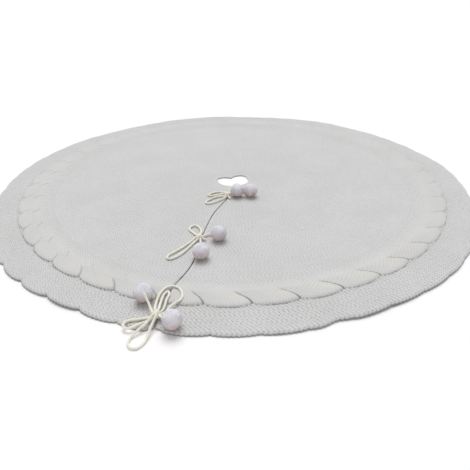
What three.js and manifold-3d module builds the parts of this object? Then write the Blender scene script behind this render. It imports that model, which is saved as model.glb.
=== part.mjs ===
// Knitted tree skirt: a round knitted cloth with a trunk hole and a radial slit, a raised
// cable border inside a scalloped rim, and three cord ties in bows that end in pompoms.
// Millimetres, +Z up. The origin is the centre of the skirt on the surface it lies on,
// and the slit runs from the trunk hole towards -Y.

import * as THREE from 'three';
import { mergeVertices } from 'three/addons/utils/BufferGeometryUtils.js';
import Module from 'manifold-3d';

// ---------- driving dimensions ----------

const clearance = 0.3;            // gap between pieces that touch

const trunkHoleRadius = 40;
const neckBindingWidth = 9;
const neckBindingHeight = 7.5;
const neckBindingRound = 0.3;     // rounding of its corners, as a share of its width

const bodyOuterRadius = 470;
const bodyThickness = 6;
const raisedThickness = bodyThickness + 1;  // edgings, rim and both edges of the cable border

const cableBorderWidth = 82;
const cableBorderCrownHeight = raisedThickness + 4;
const cableBorderShoulder = 0.08; // from each edge to the shoulder, as a share of the width
const cableBorderCrownEdge = 0.22; // from each edge to the crown, as a share of the width

const rimWidth = 62;
const scallopCount = 48;
const scallopDepth = 5;

const slitGap = 2.4;
const edgingWidth = 8;

const cordDiameter = 4.5;
const cordSides = 8;
const cordStep = 2.2 * cordDiameter;

const smallKnotRadius = 7;
const hemKnotRadius = 9;
const pompomRadius = 16.5;

const ringSegments = 120;
const knotSegments = [16, 10];    // round and down a knot
const pompomSegments = [18, 12];
const seatSegments = [24, 16];
const scallopPoints = 5;          // outline points on each scallop

// Where the ties sit. Each x is measured from the centre line of the skirt.
const neckTieX = 11.5;
const neckTieFromNeck = 66.5;     // from the outside of the neck binding
const neckPompomX = 23.5;         // left pompom from the knot, the right one lies beyond it
const middleTieX = -1;
const middleTieInset = 138.5;     // from the outside of the knitted body
const hemTieX = -3;
const hemTieInset = 23;           // from the crest of the scallops
const borderFlankLift = 0.8;      // a pompom against the foot of the cable border sits higher

// Sideways wander of the slit's centre line from a straight radius, as [radius, offset].
// It starts inside the trunk hole.
const slitWander = [
  [20, 9], [70, 13], [110, 14], [160, 5], [205, -2], [290, -2],
  [350, 3], [415, 8], [455, 4], [490, -4], [560, -4],
];
const slitSteps = 48;
const slitOverrun = 26;           // past the crest of the scallops, where the offset is nil

// ---------- materials ----------

const ivoryKnit = new THREE.MeshStandardMaterial({ color: 0xe9e6df, roughness: 0.95, metalness: 0 });
const creamKnit = new THREE.MeshStandardMaterial({ color: 0xefeadd, roughness: 0.92, metalness: 0 });
const creamCord = new THREE.MeshStandardMaterial({ color: 0xf2ead6, roughness: 0.9, metalness: 0 });
const whiteYarn = new THREE.MeshStandardMaterial({ color: 0xf1eef0, roughness: 1, metalness: 0 });

// ---------- solids ----------

const wasm = await Module();
wasm.setup();

const group = new THREE.Group();
group.name = 'tree_skirt';

// A closed three.js geometry as a solid that can be joined and cut.
function solidOf(geometry) {
  const bare = geometry.index ? geometry.toNonIndexed() : geometry.clone();
  bare.deleteAttribute('normal');
  bare.deleteAttribute('uv');
  const merged = mergeVertices(bare, 1e-4);
  return new wasm.Manifold(new wasm.Mesh({
    numProp: 3,
    vertProperties: new Float32Array(merged.attributes.position.array),
    triVerts: new Uint32Array(merged.index.array),
  }));
}

function addNode(name, solid, material) {
  const mesh = solid.getMesh();
  const geometry = new THREE.BufferGeometry();
  geometry.setAttribute('position', new THREE.BufferAttribute(mesh.vertProperties, 3));
  geometry.setIndex(new THREE.BufferAttribute(mesh.triVerts, 1));
  geometry.computeVertexNormals();
  const node = new THREE.Mesh(geometry, material);
  node.name = name;
  group.add(node);
}

// A ring turned from a closed profile of [radius, height] points, listed anticlockwise.
function ring(profile) {
  const points = [...profile, profile[0]].map(([radius, height]) => new THREE.Vector2(radius, height));
  return solidOf(new THREE.LatheGeometry(points, ringSegments).rotateX(Math.PI / 2));
}

// A flat prism that stands on the height `bottom`, from an outline of [x, y] points.
function prism(outline, bottom, height) {
  const shape = new THREE.Shape(outline.map(([x, y]) => new THREE.Vector2(x, y)));
  const geometry = new THREE.ExtrudeGeometry(shape, { depth: height, bevelEnabled: false });
  return solidOf(geometry.translate(0, 0, bottom));
}

// ---------- radii ----------

const neckOuterRadius = trunkHoleRadius + neckBindingWidth;
const bodyInnerRadius = neckOuterRadius + clearance;
const cableInnerRadius = bodyOuterRadius + clearance;
const cableOuterRadius = bodyOuterRadius + cableBorderWidth;
const rimInnerRadius = cableOuterRadius + clearance;
const rimOuterRadius = cableOuterRadius + rimWidth;

// ---------- slit ----------

const slitCourse = [...slitWander, [rimOuterRadius + slitOverrun, 0]];
const slitCurve = new THREE.CatmullRomCurve3(
  slitCourse.map(([radius, offset]) => new THREE.Vector3(offset, -radius, 0)),
);
const slitLine = slitCurve.getSpacedPoints(slitSteps);

// A strip that follows the slit, between two sideways distances from its centre line.
function slitStrip(left, right, bottom, height) {
  const side = (distance) => slitLine.map((point) => [point.x + distance, point.y]);
  return prism([...side(left), ...side(right).reverse()], bottom, height);
}

// Cuts run well past the cloth on both faces.
const cutMargin = 10;
const cutHeight = cableBorderCrownHeight + 2 * cutMargin;
const slitCut = slitStrip(-slitGap / 2, slitGap / 2, -cutMargin, cutHeight);
const edgingReach = slitGap / 2 + edgingWidth;
const bodySlitCut = slitStrip(-edgingReach - clearance, edgingReach + clearance, -cutMargin, cutHeight);

// ---------- cloth ----------

function flatRing(inner, outer, height) {
  return ring([[inner, 0], [outer, 0], [outer, height], [inner, height]]);
}

// Outline of the rim: soft scallops whose crests reach the rim's outer radius.
function scallopedOutline() {
  const outline = [];
  const count = scallopCount * scallopPoints;
  for (let i = 0; i < count; i += 1) {
    const turn = (2 * Math.PI * i) / count;
    const wave = Math.abs(Math.sin((scallopCount * turn) / 2 + Math.PI / 2));
    const radius = rimOuterRadius - scallopDepth * (1 - Math.sqrt(wave));
    outline.push([radius * Math.sin(turn), -radius * Math.cos(turn)]);
  }
  return outline;
}

function buildCloth() {
  const neckRound = neckBindingWidth * neckBindingRound;
  const neck = ring([
    [trunkHoleRadius + neckRound, 0],
    [neckOuterRadius, 0],
    [neckOuterRadius, neckBindingHeight - neckRound],
    [neckOuterRadius - neckRound, neckBindingHeight],
    [trunkHoleRadius + neckRound, neckBindingHeight],
    [trunkHoleRadius, neckBindingHeight - neckRound],
    [trunkHoleRadius, neckRound],
  ]);
  addNode('neck_binding', neck.subtract(slitCut), creamKnit);

  const body = flatRing(bodyInnerRadius, bodyOuterRadius, bodyThickness);
  addNode('knitted_body', body.subtract(bodySlitCut), ivoryKnit);

  const edgingSpan = flatRing(bodyInnerRadius, bodyOuterRadius, raisedThickness);
  const leftEdging = slitStrip(-edgingReach, -slitGap / 2, 0, raisedThickness);
  const rightEdging = slitStrip(slitGap / 2, edgingReach, 0, raisedThickness);
  addNode('slit_edging_left', leftEdging.intersect(edgingSpan), creamKnit);
  addNode('slit_edging_right', rightEdging.intersect(edgingSpan), creamKnit);

  const crownHeight = cableBorderCrownHeight;
  const edgeHeight = raisedThickness;
  const shoulderHeight = (crownHeight + edgeHeight) / 2;
  const shoulder = cableBorderWidth * cableBorderShoulder;
  const crownEdge = cableBorderWidth * cableBorderCrownEdge;
  const cable = ring([
    [cableInnerRadius, 0],
    [cableOuterRadius, 0],
    [cableOuterRadius, edgeHeight],
    [cableOuterRadius - shoulder, shoulderHeight],
    [cableOuterRadius - crownEdge, crownHeight],
    [cableInnerRadius + crownEdge, crownHeight],
    [cableInnerRadius + shoulder, shoulderHeight],
    [cableInnerRadius, edgeHeight],
  ]);
  addNode('cable_border', cable.subtract(slitCut), creamKnit);

  const rim = flatRing(rimInnerRadius, rimOuterRadius + scallopDepth, raisedThickness);
  const outline = prism(scallopedOutline(), -cutMargin, cutHeight);
  addNode('scalloped_rim', rim.intersect(outline).subtract(slitCut), ivoryKnit);
}

// ---------- ties ----------

// Each tie has a knot over the slit, roots where its two cords come out of the cloth, bow
// loops, and two tails with a pompom each. Route points run from the knot outwards, and
// back to it on a loop: x and y are measured from the middle of the knot, and z from the
// surface that the skirt lies on. Ends that lie inside a knot or a pompom are cut back to
// its surface. `lies` is the height of the cloth under a knot or a pompom.
const ties = [
  {
    name: 'neck_tie',
    at: [neckTieX, -(neckOuterRadius + neckTieFromNeck)],
    lies: raisedThickness,
    knotRadius: smallKnotRadius,
    roots: {
      left: [[-1.5, 5.5, 11], [-3, 11.5, 9.8], [-4.5, 17.5, 9.6]],
      right: [[3.5, -4, 11], [7.5, -8.5, 9.8], [10.5, -13.5, 9.6]],
    },
    loops: [
      [[-5, -1.5, 11.8], [-11.5, -3.5, 9.9], [-20.5, -5.5, 9], [-30.5, -12.5, 8.6],
        [-38.5, -24.5, 8.6], [-44.5, -36.5, 8.6], [-44.5, -45.5, 8.6], [-37.5, -48.5, 8.6],
        [-28.5, -42.5, 8.6], [-18.5, -31.5, 9.4], [-9.5, -20.5, 9.8], [-4.5, -11.5, 10], [-2, -5, 11.5]],
      [[-3.5, 5, 16.3], [-9.5, 13.5, 13.5], [-17.5, 19.5, 9.8], [-27.5, 21, 8.6], [-37.5, 16.5, 8.6],
        [-45.5, 7.5, 8.6], [-49.5, -1.5, 8.6], [-44.5, -5.5, 8.6], [-35.5, -1.5, 8.6], [-24.5, 3, 9.5],
        [-14.5, 3.5, 12.5], [-6, 2, 16]],
    ],
    tails: {
      left: {
        route: [[4, 1.7, 15.8], [9, 3.6, 17.6], [12.5, 5, 18.9], [16.5, 6.5, 20.4]],
        pompom: [neckPompomX, 9.5],
        lies: bodyThickness,
      },
      right: {
        route: [[2.8, 6.9, 12.5], [4.1, 14, 10.2], [7.8, 22.5, 9.9], [15.8, 30.2, 9.2],
          [26.5, 32.7, 8.8], [37, 30, 9], [43.5, 25, 11], [48.5, 21, 15]],
        pompom: [neckPompomX + 2 * pompomRadius + 1.5, 15.9],
        lies: bodyThickness,
      },
    },
  },
  {
    name: 'middle_tie',
    at: [middleTieX, -(bodyOuterRadius - middleTieInset)],
    lies: raisedThickness,
    knotRadius: smallKnotRadius,
    roots: {
      left: [[-6, 0, 10.8], [-10, 0.5, 9.7], [-14, 1, 9.2]],
      right: [[6, -1, 10.8], [10.5, -1.5, 9.8], [15, -2, 9.4]],
    },
    loops: [
      [[-1.1, 5.9, 16.5], [-2.5, 16.5, 13], [-5, 29.5, 10.2], [-11, 41.5, 9], [-18, 50.5, 8.6],
        [-27, 54.5, 8.6], [-33, 48.5, 8.6], [-35, 38.5, 8.6], [-30, 29.5, 8.6], [-21, 21.5, 8.8],
        [-13, 12.5, 10.5], [-5.4, 2.9, 14.8]],
      [[-2.8, -5.5, 12.2], [-6.5, -15.5, 10], [-11, -29.5, 9.4], [-15, -44.5, 8.8], [-20, -60.5, 8.6],
        [-28, -76.5, 8.6], [-38, -86.5, 8.6], [-45, -84.5, 8.6], [-45, -73.5, 8.6], [-37, -59.5, 8.6],
        [-28, -43.5, 8.6], [-21, -27.5, 8.8], [-14, -13.5, 10], [-6.5, -4.3, 14.6]],
    ],
    tails: {
      left: {
        route: [[2.5, -5.5, 12.5], [6, -16.5, 9.9], [11, -29.5, 9.7], [16, -42.5, 9.6],
          [19, -53.5, 11], [20.5, -59.5, 15]],
        pompom: [22, -69.5],
        lies: bodyThickness,
      },
      right: {
        route: [[4, 4.5, 12], [8, 12.5, 10.4], [13, 19, 9.8], [20, 20.5, 9.6],
          [28, 17.5, 11], [34, 12.5, 16]],
        pompom: [40.5, 6.5],
        lies: bodyThickness,
      },
    },
  },
  {
    name: 'hem_tie',
    at: [hemTieX, -(rimOuterRadius - hemTieInset)],
    lies: raisedThickness,
    knotRadius: hemKnotRadius,
    roots: {
      left: [[-5.7, 4.8, 12], [-10.5, 7.5, 10.2], [-16, 9.5, 9.6]],
      right: [[7.4, 0.6, 12], [12, 1.5, 10.2], [17, 2.5, 9.6]],
    },
    loops: [
      [[-3.7, 6.4, 20.5], [-7.5, 14, 17], [-11.5, 28, 14.2], [-14, 45, 13.8],
        [-14, 62, 13.6], [-9.5, 75, 13.6], [0, 82, 13.6], [11, 80, 13.6],
        [20, 71, 13.6], [26, 59, 13.6], [26, 47, 13.6], [20, 38, 13],
        [14, 28, 11.5], [10.5, 16, 10], [5, 5.5, 12]],
      [[1, 7.3, 20.5], [-1, 15, 17.5], [-4, 28, 14.4], [-6, 44, 13.8],
        [-6.5, 57, 13.6], [-2.5, 65, 13.6], [2, 58, 13.6], [2, 44, 13.4],
        [3.5, 31, 11.6], [3.5, 18, 10], [0, 7.4, 12]],
      [[-3.7, -6.4, 20.5], [-7, -13, 16.5], [-11, -20, 12], [-16.5, -28, 9.9],
        [-23, -38, 6], [-28, -49, 2.9], [-27, -60, 2.6], [-19, -67.5, 2.6],
        [-10, -67, 2.6], [-4, -58.5, 2.6], [-1.5, -46, 3.4], [-1, -35, 7.6],
        [-1, -25, 10.6], [0, -16, 13.5], [1.9, -7.1, 19]],
      [[-7.2, -1.8, 12], [-13, -4.5, 10.2], [-22, -8, 9.7], [-32, -12, 9.7],
        [-42, -16, 9.7], [-48, -22.5, 9.6], [-47, -30, 8.4], [-39, -33, 7.6],
        [-31, -29.5, 9], [-24, -23.5, 9.9], [-17, -17, 9.9], [-10, -11, 10.2],
        [-4.6, -5.8, 12]],
    ],
    tails: {
      left: {
        route: [[-7.2, 3, 16.3], [-12, 9, 15.5], [-17, 15.5, 17], [-22, 21, 22],
          [-27, 25, 28.5], [-30.5, 27.5, 33], [-34, 32, 33]],
        pompom: [-38, 40],
        lies: raisedThickness + borderFlankLift,
      },
      right: {
        route: [[7.4, -3.4, 16.3], [12, -5.8, 16.6], [17, -8.3, 18], [22, -11, 20],
          [27, -13, 22]],
        pompom: [32.5, -15.5],
        lies: raisedThickness,
      },
    },
  },
];

function cordSection() {
  const shape = new THREE.Shape();
  for (let i = 0; i < cordSides; i += 1) {
    const turn = (2 * Math.PI * i) / cordSides;
    const x = (cordDiameter / 2) * Math.cos(turn);
    const y = (cordDiameter / 2) * Math.sin(turn);
    if (i === 0) shape.moveTo(x, y);
    else shape.lineTo(x, y);
  }
  shape.closePath();
  return shape;
}

function cord(route, at) {
  const points = route.map(([x, y, z]) => new THREE.Vector3(at[0] + x, at[1] + y, z));
  const curve = new THREE.CatmullRomCurve3(points, false, 'centripetal');
  const steps = Math.max(2, Math.ceil(curve.getLength() / cordStep));
  const settings = { steps, bevelEnabled: false, extrudePath: curve };
  return solidOf(new THREE.ExtrudeGeometry(cordSection(), settings));
}

function ball(centre, radius, segments) {
  return solidOf(new THREE.SphereGeometry(radius, ...segments).translate(...centre));
}

// A seat is cut round a ball with the clearance all round.
function ballSeat(centre, radius) {
  return ball(centre, radius + clearance, seatSegments);
}

// The centre of a ball that rests on cloth of the height `lies`.
function restingCentre(x, y, lies, radius) {
  return [x, y, lies + clearance + radius];
}

function buildTie(tie) {
  const knotCentre = restingCentre(...tie.at, tie.lies, tie.knotRadius);
  const knotSeat = ballSeat(knotCentre, tie.knotRadius);
  addNode(`${tie.name}_knot`, ball(knotCentre, tie.knotRadius, knotSegments), creamCord);
  for (const [side, route] of Object.entries(tie.roots)) {
    addNode(`${tie.name}_root_${side}`, cord(route, tie.at).subtract(knotSeat), creamCord);
  }
  tie.loops.forEach((route, index) => {
    addNode(`${tie.name}_loop_${index + 1}`, cord(route, tie.at).subtract(knotSeat), creamCord);
  });
  for (const [side, tail] of Object.entries(tie.tails)) {
    const [x, y] = tail.pompom;
    const centre = restingCentre(tie.at[0] + x, tie.at[1] + y, tail.lies, pompomRadius);
    const seats = knotSeat.add(ballSeat(centre, pompomRadius));
    addNode(`${tie.name}_tail_${side}`, cord(tail.route, tie.at).subtract(seats), creamCord);
    addNode(`${tie.name}_pompom_${side}`, ball(centre, pompomRadius, pompomSegments), whiteYarn);
  }
}

buildCloth();
ties.forEach(buildTie);

export default group;
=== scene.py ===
"""Looks of the knitted tree skirt: bumpy knitted cloth with a raised cable border and a
scalloped rim, and three tied cords with yarn pompoms. Lengths are in metres."""

import math

import bpy
import numpy as np
from mathutils import Matrix, Vector


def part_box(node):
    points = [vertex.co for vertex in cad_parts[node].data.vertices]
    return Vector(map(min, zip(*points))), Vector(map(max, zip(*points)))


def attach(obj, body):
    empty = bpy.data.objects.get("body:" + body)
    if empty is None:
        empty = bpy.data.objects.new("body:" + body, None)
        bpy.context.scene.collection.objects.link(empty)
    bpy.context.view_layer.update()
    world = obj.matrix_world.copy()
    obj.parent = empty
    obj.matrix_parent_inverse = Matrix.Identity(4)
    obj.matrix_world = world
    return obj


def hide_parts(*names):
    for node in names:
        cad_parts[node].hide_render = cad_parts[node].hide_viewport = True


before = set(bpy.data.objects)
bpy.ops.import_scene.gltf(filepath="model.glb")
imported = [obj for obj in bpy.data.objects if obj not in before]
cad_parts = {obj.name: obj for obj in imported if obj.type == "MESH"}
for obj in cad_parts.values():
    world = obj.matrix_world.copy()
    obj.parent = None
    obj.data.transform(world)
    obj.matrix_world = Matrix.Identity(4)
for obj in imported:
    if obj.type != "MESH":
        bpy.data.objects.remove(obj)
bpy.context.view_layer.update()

MM = 0.001
TURN = 2 * math.pi
rng = np.random.default_rng(12)


# ---------- camera ----------

def make_camera():
    """The photograph's viewing angle: low, in front of the slit and a little to its right."""
    position = Vector((0.2439, -1.1186, 0.5030))
    aim = Vector((0.0670, -0.2881, 0.0))
    roll = math.radians(-0.68)
    forward = (aim - position).normalized()
    level = forward.cross(Vector((0, 0, 1))).normalized()
    upright = level.cross(forward)
    across = level * math.cos(roll) + upright * math.sin(roll)
    up = upright * math.cos(roll) - level * math.sin(roll)
    data = bpy.data.cameras.new("camera")
    data.lens = 34.09
    data.sensor_width = 36
    data.clip_end = 100
    camera = bpy.data.objects.new("camera", data)
    turned = Matrix((across, up, -forward)).transposed().to_4x4()
    camera.matrix_world = Matrix.Translation(position) @ turned
    bpy.context.scene.collection.objects.link(camera)
    bpy.context.scene.camera = camera


# ---------- cord routes ----------

# Points that the cords pass, with x and y from the middle of the knot and z from the floor.
# A root runs from the knot into the cloth, a loop from the knot and back to it, and a tail
# from the knot to its pompom.
ROUTES = {
    "neck_tie": {
        "root_left": [(-0.0015, 0.0055, 0.011), (-0.003, 0.0115, 0.0098),
            (-0.0045, 0.0175, 0.0096)],
        "root_right": [(0.0035, -0.004, 0.011), (0.0075, -0.0085, 0.0098),
            (0.0105, -0.0135, 0.0096)],
        "loop_1": [(-0.005, -0.0015, 0.0118), (-0.0115, -0.0035, 0.0099),
            (-0.0205, -0.0055, 0.009), (-0.0305, -0.0125, 0.0086), (-0.0385, -0.0245, 0.0086),
            (-0.0445, -0.0365, 0.0086), (-0.0445, -0.0455, 0.0086), (-0.0375, -0.0485, 0.0086),
            (-0.0285, -0.0425, 0.0086), (-0.0185, -0.0315, 0.0094), (-0.0095, -0.0205, 0.0098),
            (-0.0045, -0.0115, 0.01), (-0.002, -0.005, 0.0115)],
        "loop_2": [(-0.0035, 0.005, 0.0163), (-0.0095, 0.0135, 0.0135), (-0.0175, 0.0195, 0.0098),
            (-0.0275, 0.021, 0.0086), (-0.0375, 0.0165, 0.0086), (-0.0455, 0.0075, 0.0086),
            (-0.0495, -0.0015, 0.0086), (-0.0445, -0.0055, 0.0086), (-0.0355, -0.0015, 0.0086),
            (-0.0245, 0.003, 0.0095), (-0.0145, 0.0035, 0.0125), (-0.006, 0.002, 0.016)],
        "tail_left": [(0.004, 0.0017, 0.0158), (0.009, 0.0036, 0.0176), (0.0125, 0.005, 0.0189),
            (0.0165, 0.0065, 0.0204)],
        "tail_right": [(0.0028, 0.0069, 0.0125), (0.0041, 0.014, 0.0102), (0.0078, 0.0225, 0.0099),
            (0.0158, 0.0302, 0.0092), (0.0265, 0.0327, 0.0088), (0.037, 0.03, 0.009),
            (0.0435, 0.025, 0.011), (0.0485, 0.021, 0.015)],
    },
    "middle_tie": {
        "root_left": [(-0.006, 0, 0.0108), (-0.01, 0.0005, 0.0097), (-0.014, 0.001, 0.0092)],
        "root_right": [(0.006, -0.001, 0.0108), (0.0105, -0.0015, 0.0098), (0.015, -0.002, 0.0094)],
        "loop_1": [(-0.0011, 0.0059, 0.0165), (-0.0025, 0.0165, 0.013), (-0.005, 0.0295, 0.0102),
            (-0.011, 0.0415, 0.009), (-0.018, 0.0505, 0.0086), (-0.027, 0.0545, 0.0086),
            (-0.033, 0.0485, 0.0086), (-0.035, 0.0385, 0.0086), (-0.03, 0.0295, 0.0086),
            (-0.021, 0.0215, 0.0088), (-0.013, 0.0125, 0.0105), (-0.0054, 0.0029, 0.0148)],
        "loop_2": [(-0.0028, -0.0055, 0.0122), (-0.0065, -0.0155, 0.01), (-0.011, -0.0295, 0.0094),
            (-0.015, -0.0445, 0.0088), (-0.02, -0.0605, 0.0086), (-0.028, -0.0765, 0.0086),
            (-0.038, -0.0865, 0.0086), (-0.045, -0.0845, 0.0086), (-0.045, -0.0735, 0.0086),
            (-0.037, -0.0595, 0.0086), (-0.028, -0.0435, 0.0086), (-0.021, -0.0275, 0.0088),
            (-0.014, -0.0135, 0.01), (-0.0065, -0.0043, 0.0146)],
        "tail_left": [(0.0025, -0.0055, 0.0125), (0.006, -0.0165, 0.0099),
            (0.011, -0.0295, 0.0097), (0.016, -0.0425, 0.0096), (0.019, -0.0535, 0.011),
            (0.0205, -0.0595, 0.015)],
        "tail_right": [(0.004, 0.0045, 0.012), (0.008, 0.0125, 0.0104), (0.013, 0.019, 0.0098),
            (0.02, 0.0205, 0.0096), (0.028, 0.0175, 0.011), (0.034, 0.0125, 0.016)],
    },
    "hem_tie": {
        "root_left": [(-0.0057, 0.0048, 0.012), (-0.0105, 0.0075, 0.0102),
            (-0.016, 0.0095, 0.0096)],
        "root_right": [(0.0074, 0.0006, 0.012), (0.012, 0.0015, 0.0102), (0.017, 0.0025, 0.0096)],
        "loop_1": [(-0.0037, 0.0064, 0.0205), (-0.0075, 0.014, 0.017), (-0.0115, 0.028, 0.0142),
            (-0.014, 0.045, 0.0138), (-0.014, 0.062, 0.0136), (-0.0095, 0.075, 0.0136),
            (0, 0.082, 0.0136), (0.011, 0.08, 0.0136), (0.02, 0.071, 0.0136),
            (0.026, 0.059, 0.0136), (0.026, 0.047, 0.0136), (0.02, 0.038, 0.013),
            (0.014, 0.028, 0.0115), (0.0105, 0.016, 0.01), (0.005, 0.0055, 0.012)],
        "loop_2": [(0.001, 0.0073, 0.0205), (-0.001, 0.015, 0.0175), (-0.004, 0.028, 0.0144),
            (-0.006, 0.044, 0.0138), (-0.0065, 0.057, 0.0136), (-0.0025, 0.065, 0.0136),
            (0.002, 0.058, 0.0136), (0.002, 0.044, 0.0134), (0.0035, 0.031, 0.0116),
            (0.0035, 0.018, 0.01), (0, 0.0074, 0.012)],
        "loop_3": [(-0.0037, -0.0064, 0.0205), (-0.007, -0.013, 0.0165), (-0.011, -0.02, 0.012),
            (-0.0165, -0.028, 0.0099), (-0.023, -0.038, 0.006), (-0.028, -0.049, 0.0029),
            (-0.027, -0.06, 0.0026), (-0.019, -0.0675, 0.0026), (-0.01, -0.067, 0.0026),
            (-0.004, -0.0585, 0.0026), (-0.0015, -0.046, 0.0034), (-0.001, -0.035, 0.0076),
            (-0.001, -0.025, 0.0106), (0, -0.016, 0.0135), (0.0019, -0.0071, 0.019)],
        "loop_4": [(-0.0072, -0.0018, 0.012), (-0.013, -0.0045, 0.0102), (-0.022, -0.008, 0.0097),
            (-0.032, -0.012, 0.0097), (-0.042, -0.016, 0.0097), (-0.048, -0.0225, 0.0096),
            (-0.047, -0.03, 0.0084), (-0.039, -0.033, 0.0076), (-0.031, -0.0295, 0.009),
            (-0.024, -0.0235, 0.0099), (-0.017, -0.017, 0.0099), (-0.01, -0.011, 0.0102),
            (-0.0046, -0.0058, 0.012)],
        "tail_left": [(-0.0072, 0.003, 0.0163), (-0.012, 0.009, 0.0155), (-0.017, 0.0155, 0.017),
            (-0.022, 0.021, 0.022), (-0.027, 0.025, 0.0285), (-0.0305, 0.0275, 0.033),
            (-0.034, 0.032, 0.033)],
        "tail_right": [(0.0074, -0.0034, 0.0163), (0.012, -0.0058, 0.0166),
            (0.017, -0.0083, 0.018), (0.022, -0.011, 0.02), (0.027, -0.013, 0.022)],
    },
}

# The stretches of each bow cord, from the cloth to its last pass through the knot.
BOWS = {
    "neck_tie": {"left": ("root_left", "loop_2"), "right": ("root_right", "loop_1")},
    "middle_tie": {"left": ("root_left", "loop_1"), "right": ("root_right", "loop_2")},
    "hem_tie": {
        "left": ("root_left", "loop_4", "loop_1"),
        "right": ("root_right", "loop_3", "loop_2"),
    },
}

CORD_DIAMETER = 4.5 * MM
CORD_STEP = 0.6 * MM             # between two rings of a cord's mesh
PLIES = 3
PLY_TWIST = 8.5 * MM             # length in which a cord's plies go round once
PLY_GROOVE = 0.80                # share of the cord's radius between two plies
PLY_RISE = 0.22                  # share of it that a ply stands over the grooves
LEAST_END = 0.05                 # keeps the rounded end of a cord from closing to a point
CURVE_STEPS = 24                 # of a smooth curve between two of its given points


def box_middle(node):
    low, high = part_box(node)
    return (Vector(low) + Vector(high)) / 2


def box_radius(node):
    low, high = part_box(node)
    return (high[0] - low[0]) / 2


def smooth_curve(points, step):
    """Points about `step` apart on the centripetal Catmull-Rom curve through `points`."""
    points = np.array(points, dtype=float)
    padded = np.vstack([2 * points[0] - points[1], points, 2 * points[-1] - points[-2]])
    gaps = np.sqrt(np.linalg.norm(np.diff(padded, axis=0), axis=1))
    t = np.linspace(0, 1, CURVE_STEPS, endpoint=False)[:, None]
    dense = []
    for i in range(1, len(padded) - 2):
        before, start, end, after = padded[i - 1:i + 3]
        gap_before, gap, gap_after = gaps[i - 1:i + 2]
        chord = (end - start) / gap
        slope_start = (start - before) / gap_before - (end - before) / (gap_before + gap) + chord
        slope_end = chord - (after - start) / (gap + gap_after) + (after - end) / gap_after
        slope_start = slope_start * gap
        slope_end = slope_end * gap
        dense.append(
            (2 * t**3 - 3 * t**2 + 1) * start + (t**3 - 2 * t**2 + t) * slope_start
            + (3 * t**2 - 2 * t**3) * end + (t**3 - t**2) * slope_end
        )
    dense = np.vstack(dense + [points[-1:]])
    along = np.concatenate([[0], np.cumsum(np.linalg.norm(np.diff(dense, axis=0), axis=1))])
    count = max(4, int(round(along[-1] / step)) + 1)
    places = np.linspace(0, along[-1], count)
    return np.stack([np.interp(places, along, dense[:, axis]) for axis in range(3)], axis=1)


# ---------- meshes ----------

def add_mesh(name, vertices, face_groups, material, **fields):
    """A smooth mesh from groups of faces with equally many corners. Each field gives one
    number per vertex, which the material reads by its name."""
    mesh = bpy.data.meshes.new(name)
    corners = np.concatenate([group.ravel() for group in face_groups])
    sizes = np.concatenate([np.full(len(group), group.shape[1]) for group in face_groups])
    starts = np.concatenate([[0], np.cumsum(sizes)[:-1]])
    mesh.vertices.add(len(vertices))
    mesh.vertices.foreach_set("co", np.asarray(vertices, dtype=np.float32).ravel())
    mesh.loops.add(len(corners))
    mesh.loops.foreach_set("vertex_index", corners.astype(np.int32))
    mesh.polygons.add(len(sizes))
    mesh.polygons.foreach_set("loop_start", starts.astype(np.int32))
    mesh.update(calc_edges=True)
    mesh.shade_smooth()
    for field, values in fields.items():
        layer = mesh.attributes.new(field, "FLOAT", "POINT")
        layer.data.foreach_set("value", np.asarray(values, dtype=np.float32).ravel())
    mesh.materials.append(material)
    piece = bpy.data.objects.new(name, mesh)
    bpy.context.scene.collection.objects.link(piece)
    return piece


UNDERSIDE_FIELD = 0.15           # what every field of a sheet says on its underside; on the crest field it paints shade down the sheet's edge walls


def shell(name, top, bottom, coarse, material, **fields):
    """A closed sheet. `top` and `bottom` are grids of points whose rows run outwards and
    columns anticlockwise, and the underside keeps every `coarse`-th point of its grid."""
    rows, columns = top.shape[:2]
    under = bottom[::coarse, ::coarse]
    under_rows, under_columns = under.shape[:2]
    upper_index = np.arange(rows * columns).reshape(rows, columns)
    under_index = np.arange(under_rows * under_columns).reshape(under_rows, under_columns)
    under_index = under_index + rows * columns

    def quads(index):
        corners = [index[:-1, :-1], index[1:, :-1], index[1:, 1:], index[:-1, 1:]]
        return np.stack(corners, axis=-1).reshape(-1, 4)

    def wall(upper, lower):
        """Faces between an edge of the top and the coarser edge under it."""
        starts = np.arange(len(lower) - 1) * coarse
        steps = upper[starts[:, None] + np.arange(coarse, -1, -1)[None]]
        return np.concatenate([lower[:-1, None], lower[1:, None], steps], axis=1)

    walls = [
        wall(upper_index[0, ::-1], under_index[0, ::-1]),
        wall(upper_index[-1], under_index[-1]),
        wall(upper_index[:, 0], under_index[:, 0]),
        wall(upper_index[::-1, -1], under_index[::-1, -1]),
    ]
    vertices = np.vstack([top.reshape(-1, 3), under.reshape(-1, 3)])
    for field, values in fields.items():
        underside = np.full(under_rows * under_columns, UNDERSIDE_FIELD)
        fields[field] = np.concatenate([values.ravel(), underside])
    faces = [quads(upper_index), quads(under_index)[:, ::-1], *walls]
    return add_mesh(name, vertices, faces, material, **fields)


def carried_frame(path, closed=False):
    """Two directions square to the path at each of its points, carried along without twist."""
    ahead = np.gradient(path, axis=0)
    if closed:
        ahead = np.roll(path, -1, axis=0) - np.roll(path, 1, axis=0)
    ahead /= np.linalg.norm(ahead, axis=1)[:, None]
    side = np.cross(ahead[0], [0.0, 0.0, 1.0])
    starts_upright = np.linalg.norm(side) < 0.1
    if starts_upright:
        side = np.cross(ahead[0], [1.0, 0.0, 0.0])
    sides = []
    for direction in ahead:
        side = side - direction * np.dot(side, direction)
        side = side / np.linalg.norm(side)
        sides.append(side)
    sides = np.array(sides)
    return sides, np.cross(ahead, sides)


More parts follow.
